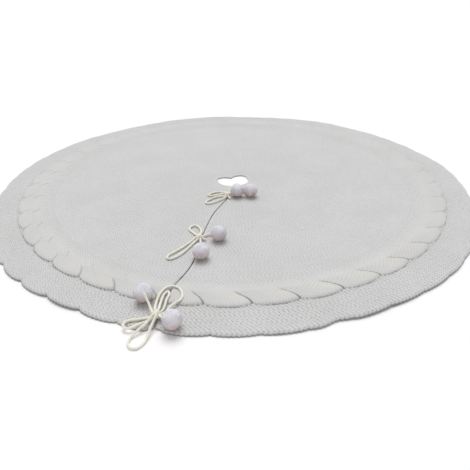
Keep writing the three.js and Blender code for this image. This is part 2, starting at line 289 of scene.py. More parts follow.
def twisted_cord(name, path, diameter, material, closed=False, sides=22):
    """A cord of plies twisted together, along `path`. The plies of a closed one join up, and
    an open one has rounded ends."""
    across, over = carried_frame(path, closed)
    loop = np.vstack([path, path[:1]]) if closed else path
    along = np.concatenate([[0], np.cumsum(np.linalg.norm(np.diff(loop, axis=0), axis=1))])
    total_twist = along[-1] / PLY_TWIST * TURN
    if closed:
        turned_back = math.atan2(np.dot(across[-1], over[0]), np.dot(across[-1], across[0]))
        one_ply = TURN / PLIES
        total_twist = round((total_twist - turned_back) / one_ply) * one_ply + turned_back
    twist = -along[:len(path)] / along[-1] * total_twist
    around = np.linspace(0, TURN, sides, endpoint=False)
    ply = np.abs(np.cos(PLIES / 2 * (around[None] - twist[:, None])))
    radius = diameter / 2 * (PLY_GROOVE + PLY_RISE * ply**0.75)
    if not closed:
        ends = np.minimum(along, along[-1] - along) / (diameter / 2)
        rounded = 1 - (1 - np.clip(ends, 0, 1))**2
        radius = radius * np.sqrt(np.clip(rounded, LEAST_END, 1))[:, None]
    vertices = (
        path[:, None]
        + across[:, None] * (radius * np.cos(around))[..., None]
        + over[:, None] * (radius * np.sin(around))[..., None]
    ).reshape(-1, 3)
    index = np.arange(len(vertices)).reshape(len(path), sides)
    ringwise = np.concatenate([index, index[:, :1]], axis=1)
    if closed:
        ringwise = np.vstack([ringwise, ringwise[:1]])
    quads = np.stack(
        [ringwise[:-1, :-1], ringwise[:-1, 1:], ringwise[1:, 1:], ringwise[1:, :-1]], axis=-1
    ).reshape(-1, 4)
    groups = [quads]
    if not closed:
        groups += [index[:1, ::-1], index[-1:]]
    # The crest field paints shade into the grooves between the plies.
    return add_mesh(name, vertices, groups, material, crest=ply)


# ---------- materials ----------

def add_node(tree, kind, **settings):
    """A shader node. A setting is a property of the node or, failing that, an input."""
    node = tree.nodes.new(kind)
    for name, value in settings.items():
        if hasattr(node, name):
            setattr(node, name, value)
        else:
            node.inputs[name.replace("_", " ")].default_value = value
    return node


# Colour sockets of a Mix node.
MIX_FIRST = 6
MIX_SECOND = 7
MIX_RESULT = 2

UNEVEN_DYE = (0.955, 0.953, 0.948)
FIBRE_SHADE = (0.89, 0.887, 0.88)


def add_multiply(tree, colour):
    """A node that multiplies `colour` by its second colour."""
    mix = add_node(tree, "ShaderNodeMix", data_type="RGBA", blend_type="MULTIPLY")
    mix.inputs["Factor"].default_value = 1.0
    tree.links.new(colour, mix.inputs[MIX_FIRST])
    return mix


def yarn_material(name, hollow_shade, crest, wool_scale, fuzz_height, sheen=0.25, patch=None):
    """Matt yarn with painted shade in the hollows between stitches, uneven dye and fine fibres.
    `patch` names a field of the mesh and the colour that tints it there."""
    material = bpy.data.materials.new(name)
    material.use_nodes = True
    tree = material.node_tree
    link = tree.links.new
    shader = tree.nodes["Principled BSDF"]
    shader.inputs["Roughness"].default_value = 0.94
    shader.inputs["Specular IOR Level"].default_value = 0.18
    shader.inputs["Sheen Weight"].default_value = sheen
    shader.inputs["Sheen Roughness"].default_value = 0.6
    place = add_node(tree, "ShaderNodeTexCoord")
    height = add_node(tree, "ShaderNodeAttribute", attribute_name="crest")

    patches = add_node(tree, "ShaderNodeTexNoise", Scale=9.0, Detail=4.0)
    fibres = add_node(tree, "ShaderNodeTexNoise", Scale=wool_scale, Detail=5.0, Roughness=0.7)
    link(place.outputs["Object"], patches.inputs["Vector"])
    link(place.outputs["Object"], fibres.inputs["Vector"])

    # Painted shade: the colour darkens towards hollow_shade where the crest field is low, in hollows,
    # grooves and creases.
    shade = add_node(tree, "ShaderNodeValToRGB")
    shade.color_ramp.elements[0].position = 0.0
    shade.color_ramp.elements[0].color = (*hollow_shade, 1)
    shade.color_ramp.elements[1].position = 0.55
    shade.color_ramp.elements[1].color = (*crest, 1)
    link(height.outputs["Fac"], shade.inputs["Fac"])

    def tinted(source, fac, dark):
        """`source`, multiplied by `dark` where the noise `fac` is low."""
        mix = add_multiply(tree, source)
        ramp = add_node(tree, "ShaderNodeValToRGB")
        ramp.color_ramp.elements[0].position = 0.35
        ramp.color_ramp.elements[0].color = (*dark, 1)
        ramp.color_ramp.elements[1].position = 0.65
        link(fac, ramp.inputs["Fac"])
        link(ramp.outputs["Color"], mix.inputs[MIX_SECOND])
        return mix.outputs[MIX_RESULT]

    colour = tinted(shade.outputs["Color"], patches.outputs["Fac"], UNEVEN_DYE)
    colour = tinted(colour, fibres.outputs["Fac"], FIBRE_SHADE)
    if patch:
        field, tint = patch
        share = add_node(tree, "ShaderNodeAttribute", attribute_name=field)
        mix = add_multiply(tree, colour)
        mix.inputs[MIX_SECOND].default_value = (*tint, 1)
        link(share.outputs["Fac"], mix.inputs["Factor"])
        colour = mix.outputs[MIX_RESULT]
    link(colour, shader.inputs["Base Color"])

    bump = add_node(tree, "ShaderNodeBump", Strength=0.6, Distance=fuzz_height)
    link(fibres.outputs["Fac"], bump.inputs["Height"])
    link(bump.outputs["Normal"], shader.inputs["Normal"])
    return material


IVORY_KNIT = yarn_material(
    "ivory_knit", hollow_shade=(0.11, 0.108, 0.107), crest=(0.665, 0.663, 0.668),
    wool_scale=900, fuzz_height=0.5 * MM,
)
# Its patch is a painted highlight with a cream tint, on the cable's strands.
CREAM_KNIT = yarn_material(
    "cream_knit", hollow_shade=(0.11, 0.106, 0.094), crest=(0.665, 0.663, 0.665),
    wool_scale=900, fuzz_height=0.5 * MM, patch=("cream_patch", (1.07, 1.055, 0.975)),
)
# Cord yarn; its hollow colour is painted shade in the grooves between plies.
CREAM_CORD = yarn_material(
    "cream_cord", hollow_shade=(0.74, 0.70, 0.56), crest=(0.94, 0.92, 0.82),
    wool_scale=1600, fuzz_height=0.25 * MM,
)
# Pompom yarn; the underside tint is painted shade, warm, on each ball's lower part.
WHITE_YARN = yarn_material(
    "white_yarn", hollow_shade=(0.62, 0.595, 0.64), crest=(0.86, 0.84, 0.91),
    wool_scale=1300, fuzz_height=0.5 * MM, sheen=0.6, patch=("underside", (0.72, 0.56, 0.50)),
)


# ---------- cloth ----------

STITCH_WIDTH = 8.4 * MM          # along a round of knitting
STITCH_HEIGHT = 3.75 * MM        # from one round to the next


def outer_radius(node):
    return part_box(node)[1][0]


NECK_OUTER = outer_radius("neck_binding")
NECK_WIDTH = 9 * MM
BODY_OUTER = outer_radius("knitted_body")
CABLE_OUTER = outer_radius("cable_border")
RIM_OUTER = outer_radius("scalloped_rim")
SLIT_HALF_GAP = 1.2 * MM
EDGING_WIDTH = 8 * MM
BODY_SLIT_REACH = SLIT_HALF_GAP + EDGING_WIDTH + 0.1 * MM
SEAM = 0.1 * MM                  # left open between two sheets that are knitted together

# The slit's centre line as (radius, sideways offset), from inside the hole to past the rim.
SLIT_WANDER = [
    (0.020, 0.009), (0.070, 0.013), (0.110, 0.014), (0.160, 0.005), (0.205, -0.002), (0.290, -0.002),
    (0.350, 0.003), (0.415, 0.008), (0.455, 0.004), (0.490, -0.004), (0.560, -0.004), (0.640, 0),
]
SLIT_LINE = smooth_curve([(offset, -radius, 0) for radius, offset in SLIT_WANDER], 2 * MM)


def slit_angle(radius):
    """Angle of the slit, anticlockwise from -Y, at each distance from the centre."""
    x, y = SLIT_LINE[:, 0], SLIT_LINE[:, 1]
    return np.interp(radius, np.hypot(x, y), np.arctan2(x, -y))


def ease(value, start, end):
    """From 0 at `start` to 1 at `end`, level at both."""
    share = np.clip((value - start) / (end - start), 0, 1)
    return share * share * (3 - 2 * share)


def hump(angle, middle, width):
    """A rise round one direction, given in degrees anticlockwise from the slit."""
    away = (np.degrees(angle) - middle + 180) % 360 - 180
    return np.exp(-(away / width)**2)


# Waves of the loose cloth: radians per metre along x and y, phase, and height.
WAVES = (
    (11, 7, 0.6, 1.0), (-6, 13, 2.1, 1.0), (17, -9, 4.0, 0.8), (29, 21, 1.0, 0.5),
    (-25, 31, 3.0, 0.5),
)
WAVE_HEIGHT = 0.75 * MM
WAVE_LEVEL = 2.4                 # added to the waves, so that only their hollows lie flat


def lift(x, y):
    """How far the loose cloth rises off the floor. It lies flat round the slit and its ties."""
    radius = np.hypot(x, y)
    beside_slit = np.abs(x - np.interp(-y, -SLIT_LINE[:, 1], SLIT_LINE[:, 0]))
    from_slit = np.where(y < 0, beside_slit, radius)
    waves = sum(
        height * np.sin(along_x * x + along_y * y + phase)
        for along_x, along_y, phase, height in WAVES
    )
    loose = ease(from_slit, 85 * MM, 200 * MM) * ease(radius, 90 * MM, 220 * MM)
    return WAVE_HEIGHT * (waves + WAVE_LEVEL).clip(0, None) * loose


# Where the edge of the trunk hole gives way: direction and width in degrees, and distance
# outwards in mm.
HOLE_PULLS = ((140, 22, 5), (85, 30, 5), (208, 36, -24), (272, 18, 3))
HOLE_EDGE = 42 * MM
HOLE_PULL_END = 120 * MM         # radius from which the cloth isn't pulled


def hole_pull(radius, angle):
    """The limp edge of the trunk hole falls inwards at the back and gives way beside that."""
    pull = sum(distance * hump(angle, middle, width) for middle, width, distance in HOLE_PULLS)
    return pull * MM * (1 - ease(radius, HOLE_EDGE, HOLE_PULL_END))


def place(radius, angle, height):
    pulled = radius + hole_pull(radius, angle)
    x, y = pulled * np.sin(angle), -pulled * np.cos(angle)
    return np.stack([x, y, height + lift(x, y)], axis=-1)


def knit_sheet(name, radius, angle, top, bottom, coarse, material, **fields):
    """A closed sheet between two heights over the same grid of radius and angle."""
    upper, lower = place(radius, angle, top), place(radius, angle, bottom)
    return shell(name, upper, lower, coarse, material, **fields)


def around_slit(radius, columns, side_gap):
    """Angles of a grid that runs anticlockwise from one side of the slit to the other."""
    start = slit_angle(radius)[:, None]
    gap = (side_gap / radius)[:, None]
    return start + gap + np.linspace(0, 1, columns)[None] * (TURN - 2 * gap)


def side_distance(radius, angle):
    """Distance along the round from the nearer side of the sheet at the slit."""
    from_right, from_left = angle - angle[:, :1], angle[:, -1:] - angle
    return radius * np.minimum(from_right, from_left)


def rounded_edge(distance, width, least=0.45):
    """Share of the full height near an edge, from `least` up, rounded over `width`."""
    share = np.clip(distance / width, 0, 1)
    return least + (1 - least) * np.sqrt(1 - (1 - share)**2)


# Any large unrelated numbers will do.
SCATTER_FACTORS = (12.9898, 78.233)
SCATTER_SCALE = 43758.5453


def scatter(*numbers):
    """Repeatable uneven values from 0 to 1, one for each pair of whole numbers."""
    mixed = sum(number * factor for number, factor in zip(numbers, SCATTER_FACTORS))
    return np.abs(np.sin(mixed) * SCATTER_SCALE) % 1


ROW_NUDGE = 1e-6                 # puts a radius on the edge of a round into that round
ROW_SHIFT = 0.45                 # most that a round is shifted unevenly, in stitches
BUMP_BOW = 0.08                  # how far the middle of a bump is bowed, in rounds
LEAST_BUMP = 0.62                # size of the smallest bump


def purl(radius, angle):
    """Reverse-side stitches, 0 in the hollows and 1 on the bumps. Every other round is
    shifted by half a stitch, and each by an uneven part of one."""
    row = np.floor(radius / STITCH_HEIGHT + ROW_NUDGE)
    up = radius / STITCH_HEIGHT - row - 0.5
    count = np.round(TURN * (row + 0.5) * STITCH_HEIGHT / STITCH_WIDTH)
    column = angle / TURN * count + 0.5 * (row % 2) + ROW_SHIFT * scatter(row, 3)
    stitch = np.floor(column)
    along = column - stitch - 0.5
    bowed = up + BUMP_BOW * (1 - 8 * along**2)
    lengthwise = np.clip(1 - np.abs(2 * along)**3.2, 0, 1)**0.7
    crosswise = np.clip(1 - np.abs(2 * bowed)**2.2, 0, 1)**0.7
    size = LEAST_BUMP + (1 - LEAST_BUMP) * scatter(row, stitch)
    locked = 1 - (1 - crosswise) * (1 - 0.45 * lengthwise)
    return locked * (0.45 + 0.55 * lengthwise) * size


def hollow_height(radius):
    return np.interp(radius, [BODY_OUTER, CABLE_OUTER], [4.6 * MM, 4.9 * MM])


def bump_height(radius):
    return np.interp(radius, [BODY_OUTER, CABLE_OUTER], [1.4 * MM, 2.0 * MM])


def purl_height(radius, crest):
    return hollow_height(radius) + bump_height(radius) * crest


def sheet_radii(inner, outer, step):
    """Radii between two edges that fall on the hollows and crests of the rounds."""
    first, last = math.ceil(inner / step + 0.3), math.floor(outer / step - 0.3)
    return np.concatenate([[inner], np.arange(first, last + 1) * step, [outer]])


def padded_to(values, coarse):
    """The same radii, with more before the last one where the coarse underside needs them."""
    missing = -(len(values) - 1) % coarse
    if not missing:
        return values
    extra = np.linspace(values[-2], values[-1], missing + 2)[1:-1]
    return np.concatenate([values[:-1], extra, values[-1:]])


def knit_grid(inner, outer, step, coarse, columns, side_gap):
    """Radius and angle over a sheet, from its inner to its outer edge."""
    radii = padded_to(sheet_radii(inner, outer, step), coarse)
    angle = around_slit(radii, columns, side_gap)
    return radii[:, None] + 0 * angle, angle


BODY_COLUMNS = 1601
BODY_SHADE = 0.14                # the painted shade in the hollows of the body's fine knitting is lighter
NECK_THICKNESS = 0.72            # share of the body's thickness at the neck
NECK_THINNING = 20 * MM          # width in which the body reaches its full thickness


def make_body():
    coarse = 4
    radius, angle = knit_grid(
        NECK_OUTER + SEAM, BODY_OUTER, STITCH_HEIGHT / 3, coarse, BODY_COLUMNS, BODY_SLIT_REACH)
    crest = purl(radius, angle)
    full = ease(radius, NECK_OUTER, NECK_OUTER + NECK_THINNING)
    thinned = NECK_THICKNESS + (1 - NECK_THICKNESS) * full
    height = purl_height(radius, crest) * thinned
    # The crest field paints shade into the hollows between the purl bumps.
    return knit_sheet("knitted_body_cloth", radius, angle, height, 0 * height, coarse,
                      IVORY_KNIT, crest=BODY_SHADE + (1 - BODY_SHADE) * crest)


BORDER_COLUMNS = 2801
CREASES = 40
CREASE_PITCH = TURN / CREASES
FIRST_CREASE = math.radians(6.7)
# How far a crease leans clockwise: radii in metres, and the degrees at each.
CREASE_LEAN = (
    [0.490, 0.505, 0.518, 0.526, 0.534, 0.542, 0.552],
    [6.5, 4.2, 2.4, 1.3, 0.55, 0.1, 0],
)
CREASE_DEPTH = 1.5 * MM
INNER_CREASE_DEPTH = 0.8 * MM
INNER_CREASE_SHARE = 0.42        # its place from one crease to the next
STRAND_RISE = 6.3 * MM           # of the cable over the hollows of its ground
NOTCH_RADIUS = 0.5425            # where two strands meet at the outside of the cable
STRAND_BULGE = 9 * MM            # of a strand's outer edge past the notches
STRAND_SHOULDER = 9 * MM         # width in which a strand rises from its outer edge
STRAND_WIDTH = 62 * MM           # across its stitches
STRAND_SLANT = 1.35              # length along a strand for each metre of radius
STRAND_STITCH = 6.2 * MM         # length of a stitch along a strand
RELIEF_HEIGHT = 0.6 * MM         # of the stitches on a strand
HIGHLIGHT_RADIUS = 0.527             # middle of a strand's painted highlight, which has a cream tint
HIGHLIGHT_SHARE = 0.80               # its place from one crease to the next
HIGHLIGHT_LENGTH = 14 * MM           # reach of the highlight along the radius
HIGHLIGHT_WIDTH = 22 * MM            # reach of the highlight along the round


def knit_relief(along, across):
    """Plain knit, from 0 to 1: columns of V-shaped stitches, as wide as a stitch."""
    wale = across / STITCH_WIDTH
    leg = np.abs(wale - np.round(wale))
    stitch = np.abs(np.sin((along / STRAND_STITCH + 1.3 * leg) * math.pi))
    return 0.5 * stitch + 0.5 * np.abs(np.sin(2 * wale * math.pi))


def strand_top(radius, share, strand, inside, creased):
    """Height of a strand without its stitches. It is lower where it starts, `share` 0, and
    rounded at its end, `share` 1. `inside` is the distance from its outer edge."""
    start_low = 1 - 0.32 * creased * (1 - ease(share, 0, 0.45))
    end_round = 1 - 0.35 * creased * ease(share, 0.93, 1)**2
    uneven = 0.94 + 0.06 * scatter(strand, 0 * strand)
    shoulder = np.sqrt(1 - (1 - np.clip(inside / STRAND_SHOULDER, 0, 1))**2)
    rise = STRAND_RISE * start_low * end_round * uneven
    return hollow_height(radius) + rise * (0.25 + 0.75 * shoulder)


def beading(distance, length, least):
    """Beads of one length in a row, from `least` between them to 1."""
    return least + (1 - least) * np.abs(np.sin(distance / length * math.pi / 2))


def cable_creases(radius, angle, share, inside, creased):
    """The creases between two strands and the short ones inside them at the left, 0 to 1: grooves in
    the cable, also darkened with painted shade.
    """
    pitch = CREASE_PITCH * radius
    from_crease = np.minimum(share, 1 - share) * pitch
    line = 1 - ease(from_crease, 0.9 * MM, 3.6 * MM)
    crease = creased * line * (inside > 0) * beading(radius, 2.1 * MM, 0.55)
    window = ease(radius, 0.498, 0.503) * (1 - ease(radius, 0.514, 0.520))
    from_inner = np.abs(share - INNER_CREASE_SHARE) * pitch
    inner_line = 1 - ease(from_inner, 0.4 * MM, 2.4 * MM)
    return crease, window * hump(angle, 290, 55) * inner_line


def painted_outline_shade(radius, angle, inside):
    """Painted shade as a dark line round the outside of the cable, 0 to 1, strongest left of the slit.
    """
    outlined = 0.20 + 0.30 * hump(angle, 15, 45) + 0.60 * hump(angle, 330, 22)
    line = 1 - ease(np.abs(inside + 0.5 * MM), 0.3 * MM, 1.9 * MM)
    return outlined * line * beading(angle * radius, 4.2 * MM, 0.15)


def cable_fields(radius, angle, ground, crest):
    """Height, painted shade and painted cream-tinted highlights of the cable over its purl ground.
    The end of each strand lies over the start of the next. The crease between them leans
    clockwise as it runs inwards, and fades out. The cable is plumpest right of the slit."""
    plump = 0.25 + 0.75 * hump(angle, 26, 42)
    lean = np.radians(np.interp(radius, *CREASE_LEAN))
    leaning_place = (angle + lean - FIRST_CREASE) / CREASE_PITCH
    share = leaning_place % 1
    strand = np.floor(leaning_place)
    creased = ease(radius, 0.525 - 0.020 * plump, 0.530 - 0.010 * plump) * plump

    outer_share = ((angle - FIRST_CREASE) / CREASE_PITCH) % 1
    bulge = np.sin(outer_share * math.pi).clip(0, 1)**0.62
    inside = NOTCH_RADIUS + STRAND_BULGE * bulge - radius
    relief = knit_relief(radius * STRAND_SLANT, share * STRAND_WIDTH)
    top = strand_top(radius, share, strand, inside, creased) + RELIEF_HEIGHT * (relief - 0.5)
    blend = ease(radius, 0.478, 0.518) * (inside > 0)
    height = np.maximum(ground * (1 - blend) + top * blend, ground * (blend < 0.9))

    crease, inner_crease = cable_creases(radius, angle, share, inside, creased)
    outline_shade = painted_outline_shade(radius, angle, inside)
    # Painted shade in the hollows of the stitches on the strands.
    on_strand = 0.34 + 0.32 * relief
    shade = crest * (1 - blend) + on_strand * blend
    # Painted shade darkens the creases, the short inner creases and the outline.
    shade = shade * (1 - 0.95 * crease) * (1 - 0.5 * inner_crease) * (1 - 0.95 * outline_shade)
    height = height - CREASE_DEPTH * crease - INNER_CREASE_DEPTH * inner_crease
    # A painted highlight, cream-tinted, on each strand beside its notch, right of the slit.
    sideways = (share - HIGHLIGHT_SHARE) * CREASE_PITCH * radius / HIGHLIGHT_WIDTH
    cream = np.exp(-sideways**2 - ((radius - HIGHLIGHT_RADIUS) / HIGHLIGHT_LENGTH)**2)
    return height, shade, cream * plump * (inside > 0)


def make_cable():
    coarse = 2
    radius, angle = knit_grid(
        BODY_OUTER + SEAM, CABLE_OUTER, STITCH_HEIGHT / 3, coarse, BORDER_COLUMNS, SLIT_HALF_GAP)
    crest = purl(radius, angle)
    least_shade = BODY_SHADE * (1 - ease(radius, BODY_OUTER, 0.53))
    ground_shade = least_shade + (1 - least_shade) * crest
    height, shade, cream = cable_fields(radius, angle, purl_height(radius, crest), ground_shade)
    height = height * rounded_edge(side_distance(radius, angle), 5 * MM)
    return knit_sheet("cable_border_cloth", radius, angle, height, 0 * height, coarse,
                      CREAM_KNIT, crest=shade, cream_patch=cream)


SCALLOPS = 48
FIRST_NOTCH = math.radians(-6.4)


def rim_edge(angle):
    """Radius of the rim's edge: its scallops are deep to the left of the slit and shallow
    to the right of it, where the edge is pulled straighter but for one dent. The depth and
    the waver of the edge are in mm."""
    notch = np.abs(np.sin((angle - FIRST_NOTCH) / TURN * SCALLOPS * math.pi))
    depth = 2.2 + 6.3 * hump(angle, 335, 38) + 1.5 * hump(angle, 180, 90)
    waver = 1.6 * np.sin(7 * angle + 0.5) + 1.2 * np.sin(13 * angle + 2.0) - 8 * hump(angle, 28.6, 2.2)
    return RIM_OUTER + (2.0 + waver - depth * (1 - np.sqrt(notch))) * MM


RIM_CORNER = 7 * MM              # cut off the rim's corners at the slit
RIM_CORNER_WIDTH = 18 * MM
EDGE_SHADE_WIDTH = 1.1 * MM           # width of the painted shade, in darker beads, along the rim's edge


def make_rim():
    coarse = 2
    rows, angle = knit_grid(
        CABLE_OUTER + SEAM, RIM_OUTER, STITCH_HEIGHT / 4, coarse, BORDER_COLUMNS, SLIT_HALF_GAP)
    share = (rows - CABLE_OUTER) / (RIM_OUTER - CABLE_OUTER)
    from_side = side_distance(rows, angle)
    corner = RIM_CORNER * (1 - ease(from_side, 0, RIM_CORNER_WIDTH))
    beads = np.abs(np.sin(angle * RIM_OUTER / STITCH_WIDTH * math.pi))**0.6
    bead_reach = 1.6 * MM * beads * ease(share, 0.9, 1)
    radius = rows + share * (rim_edge(angle) - corner - RIM_OUTER) + bead_reach
    crest = purl(rows, angle)
    from_edge = RIM_OUTER - rows
    edge = rounded_edge(from_side, 3 * MM) * rounded_edge(from_edge, 5 * MM, least=0.36)
    height = purl_height(rows, crest) * edge
    inner = ease(from_edge, 0, EDGE_SHADE_WIDTH)
    # Painted shade: dark beads along the rim's edge, and in the purl hollows.
    painted_edge_shade = (0.15 + 0.3 * beads) * (1 - inner) + inner
    return knit_sheet("scalloped_rim_cloth", radius, angle, height, 0 * height, coarse,
                      IVORY_KNIT, crest=crest**0.85 * painted_edge_shade)


ROLL_ROWS = 17                   # points over the rounded top of a binding or edging


def chain_stitch(along, across, length):
    """Two slanting legs to a stitch, with a groove between them. `across` is from -1 to 1."""
    slant = 0.42                 # of a leg from the middle to the side, in stitches
    groove_width = 0.16
    legs = np.abs(np.sin((along / length + slant * np.abs(across)) * math.pi))**0.6
    groove = np.clip(np.abs(across) / groove_width, 0, 1)
    return legs * (0.35 + 0.65 * groove)


NECK_COLUMNS = 601
NECK_MIDDLE_HEIGHT = 1.9 * MM
NECK_HALF_HEIGHT = 1.8 * MM
NECK_STITCH_HEIGHT = 0.6 * MM


def make_neck_binding():
    """A rounded roll at the hole's edge that goes on level into the body."""
    middle = NECK_OUTER - NECK_WIDTH / 2
    turn = np.linspace(0, math.pi, ROLL_ROWS)
    radius = middle - NECK_WIDTH / 2 * np.cos(turn)
    angle = around_slit(radius, NECK_COLUMNS, SLIT_HALF_GAP)
    radius = radius[:, None] + 0 * angle
    across = -np.cos(turn)[:, None] + 0 * angle
    crest = chain_stitch(angle * middle, across, 8 * MM)
    arch = np.where(turn < math.pi / 2, np.sin(turn), 1)[:, None]
    edge = rounded_edge(side_distance(radius, angle), 4 * MM)
    half = NECK_HALF_HEIGHT * arch**0.8
    top = (NECK_MIDDLE_HEIGHT + half + NECK_STITCH_HEIGHT * crest * arch) * edge
    bottom = (NECK_MIDDLE_HEIGHT - half) * edge
    # The crest field paints shade into the groove and between the stitches' legs.
    return knit_sheet("neck_binding_cloth", radius, angle, top, bottom, 2,
                      CREAM_KNIT, crest=0.3 + 0.7 * crest)


EDGING_ROWS = 841
EDGING_MIDDLE_HEIGHT = 3.2 * MM
EDGING_TOP = 5.4 * MM
EDGING_BOTTOM = 0.1 * MM
EDGING_STITCH_HEIGHT = 0.7 * MM


def make_edging(side):
    """An edging strip; `side` is 1 at the right of the slit and -1 at the left. It is rounded
    along the slit and goes on level into the body."""
    radius = np.linspace(NECK_OUTER + SEAM, BODY_OUTER, EDGING_ROWS)
    turn = np.linspace(0, math.pi, ROLL_ROWS)
    across = -np.cos(turn)[None] + 0 * radius[:, None]
    middle = SLIT_HALF_GAP + EDGING_WIDTH / 2
    reach = side * middle + EDGING_WIDTH / 2 * across
    angle = slit_angle(radius)[:, None] + reach / radius[:, None]
    radius = radius[:, None] + 0 * across
    crest = chain_stitch(radius, across, 7 * MM)
    arch = np.sin(turn)[None]
    away = np.clip(side * across, 0, 1)
    along_slit = side * across < 0
    roll_top = EDGING_MIDDLE_HEIGHT + (EDGING_TOP - EDGING_MIDDLE_HEIGHT) * arch**0.6
    roll_bottom = EDGING_MIDDLE_HEIGHT - (EDGING_MIDDLE_HEIGHT - EDGING_BOTTOM) * arch**0.6
    top = np.where(along_slit, roll_top, EDGING_TOP)
    top = top + EDGING_STITCH_HEIGHT * crest * np.maximum(arch, away)
    bottom = np.where(along_slit, roll_bottom, EDGING_BOTTOM)
    name = "slit_edging_right_cloth" if side > 0 else "slit_edging_left_cloth"
    # The crest field paints shade into the groove and between the stitches' legs.
    return knit_sheet(name, radius, angle, top, bottom, 2, IVORY_KNIT, crest=0.35 + 0.65 * crest)


def dress_cloth():
    body, cable, rim = make_body(), make_cable(), make_rim()
    neck, left, right = make_neck_binding(), make_edging(-1), make_edging(1)
    for piece, node, slot in (
        (body, "knitted_body", "ivory_knit"), (cable, "cable_border", "cream_knit"),
        (rim, "scalloped_rim", "ivory_knit"), (neck, "neck_binding", "cream_knit"),
        (left, "slit_edging_left", "cream_knit"), (right, "slit_edging_right", "cream_knit"),
    ):
        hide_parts(node)
        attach(piece, "skirt")


# ---------- ties ----------

KNOT_TURN_RADIUS = 3.4 * MM
STRAIGHT_THROUGH = 0.6           # the ways in from both ends add up to less: a straight pass
TAIL_IN_KNOT = 4 * MM            # how far a tail starts past the knot's middle
TAIL_IN_POMPOM = 3 * MM          # how far it ends past the pompom's middle


def from_knot(tie, points):
    knot = box_middle(f"{tie}_knot")
    return [(knot.x + x, knot.y + y, z) for x, y, z in points]


def turn_in_knot(knot, before, after):
    """Points of the cord inside the knot: straight through, or round where it comes back
    out on the side that it went in."""
    inwards = (knot - Vector(before)).normalized() + (knot - Vector(after)).normalized()
    if inwards.length < STRAIGHT_THROUGH:
        return [tuple(knot)]
    inwards.normalize()
    side = Vector(before) - Vector(after)
    side = (side - inwards * side.dot(inwards)).normalized()
    return [tuple(knot + way * KNOT_TURN_RADIUS) for way in (side, inwards, -side)]


def bow_path(tie, stretches):
    """From the cloth to the knot, round each bow loop and back into the knot."""
    knot = box_middle(f"{tie}_knot")
    first, *loops = stretches
    points = from_knot(tie, ROUTES[tie][first])[::-1]
    for loop in loops:
        route = from_knot(tie, ROUTES[tie][loop])
        points += turn_in_knot(knot, points[-1], route[0])
        points += route
    points.append(tuple(knot))
    return smooth_curve(points, CORD_STEP)


def tail_path(tie, side):
    """From inside the knot to inside the pompom."""
    knot, pompom = box_middle(f"{tie}_knot"), box_middle(f"{tie}_pompom_{side}")
    route = from_knot(tie, ROUTES[tie][f"tail_{side}"])
    leaving = (Vector(route[0]) - knot).normalized()
    entering = (pompom - Vector(route[-1])).normalized()
    start = knot - leaving * TAIL_IN_KNOT
    end = pompom + entering * TAIL_IN_POMPOM
    return smooth_curve([tuple(start), *route, tuple(end)], CORD_STEP)


def make_knot(tie):
    """The cord wound over and under itself as a small closed knot, twice round in three waves."""
    centre, radius = box_middle(f"{tie}_knot"), box_radius(f"{tie}_knot")
    strand = 0.56 * radius
    ring = radius - strand * 0.92
    wave = strand * 0.42
    turn = np.linspace(0, TURN, 180, endpoint=False)
    out = ring + wave * np.cos(3 * turn) - wave
    path = np.stack([
        centre.x + out * np.cos(2 * turn), centre.y + out * np.sin(2 * turn),
        centre.z + ring * 0.95 * np.sin(3 * turn),
    ], axis=1)
    diameter = min(2 * strand, CORD_DIAMETER * 1.12)
    return twisted_cord(f"{tie}_knot_cord", path, diameter, CREAM_CORD, closed=True)


TUFTS = 900
TUFT_JITTER = 0.02
TUFT_RADIUS = 1.45 * MM
TUFT_HEIGHT = 0.8 * MM
TUFT_BATCH = 8000                # directions compared with all tufts at a time
LUMPS = 5                        # slow waves that make the ball uneven
LUMP_HEIGHT = 0.12 * MM
SKIN_DEPTH = 0.5 * MM            # of the hollows between tufts, under the pompom's radius
FIBRES = 5200
FIBRE_LEAN = 0.38
FIBRE_REACH = (1.1, 2.1)         # shortest and longest, in mm
FIBRE_DEPTH = 0.7 * MM           # of a fibre's foot, under the pompom's radius
FIBRE_RADIUS = 0.22 * MM
FIBRE_SHADE_RANGE = (0.4, 1.0)
# A fibre is a cone with three corners at its foot and its tip as the fourth.
FIBRE_FACES = ([0, 1, 3], [1, 2, 3], [2, 0, 3], [2, 1, 0])
POMPOM_UPPER, POMPOM_LOWER = 1.05, 0.98     # its height over and under its middle, in radii


def ball_mesh():
    """Directions over a fine even sphere, and the triangles between them."""
    bpy.ops.mesh.primitive_ico_sphere_add(subdivisions=6, radius=1.0)
    ball = bpy.context.object
    mesh = ball.data
    directions = np.empty(len(mesh.vertices) * 3, dtype=np.float32)
    mesh.vertices.foreach_get("co", directions)
    triangles = np.empty(len(mesh.polygons) * 3, dtype=np.int32)
    mesh.polygons.foreach_get("vertices", triangles)
    bpy.data.objects.remove(ball)
    bpy.data.meshes.remove(mesh)
    return directions.reshape(-1, 3), triangles.reshape(-1, 3)


def made_oval(points):
    """The same points, moved up or down to the pompom's height."""
    points[:, 2] *= np.where(points[:, 2] > 0, POMPOM_UPPER, POMPOM_LOWER)
    return points


def unit(vectors):
    return vectors / np.linalg.norm(vectors, axis=1)[:, None]


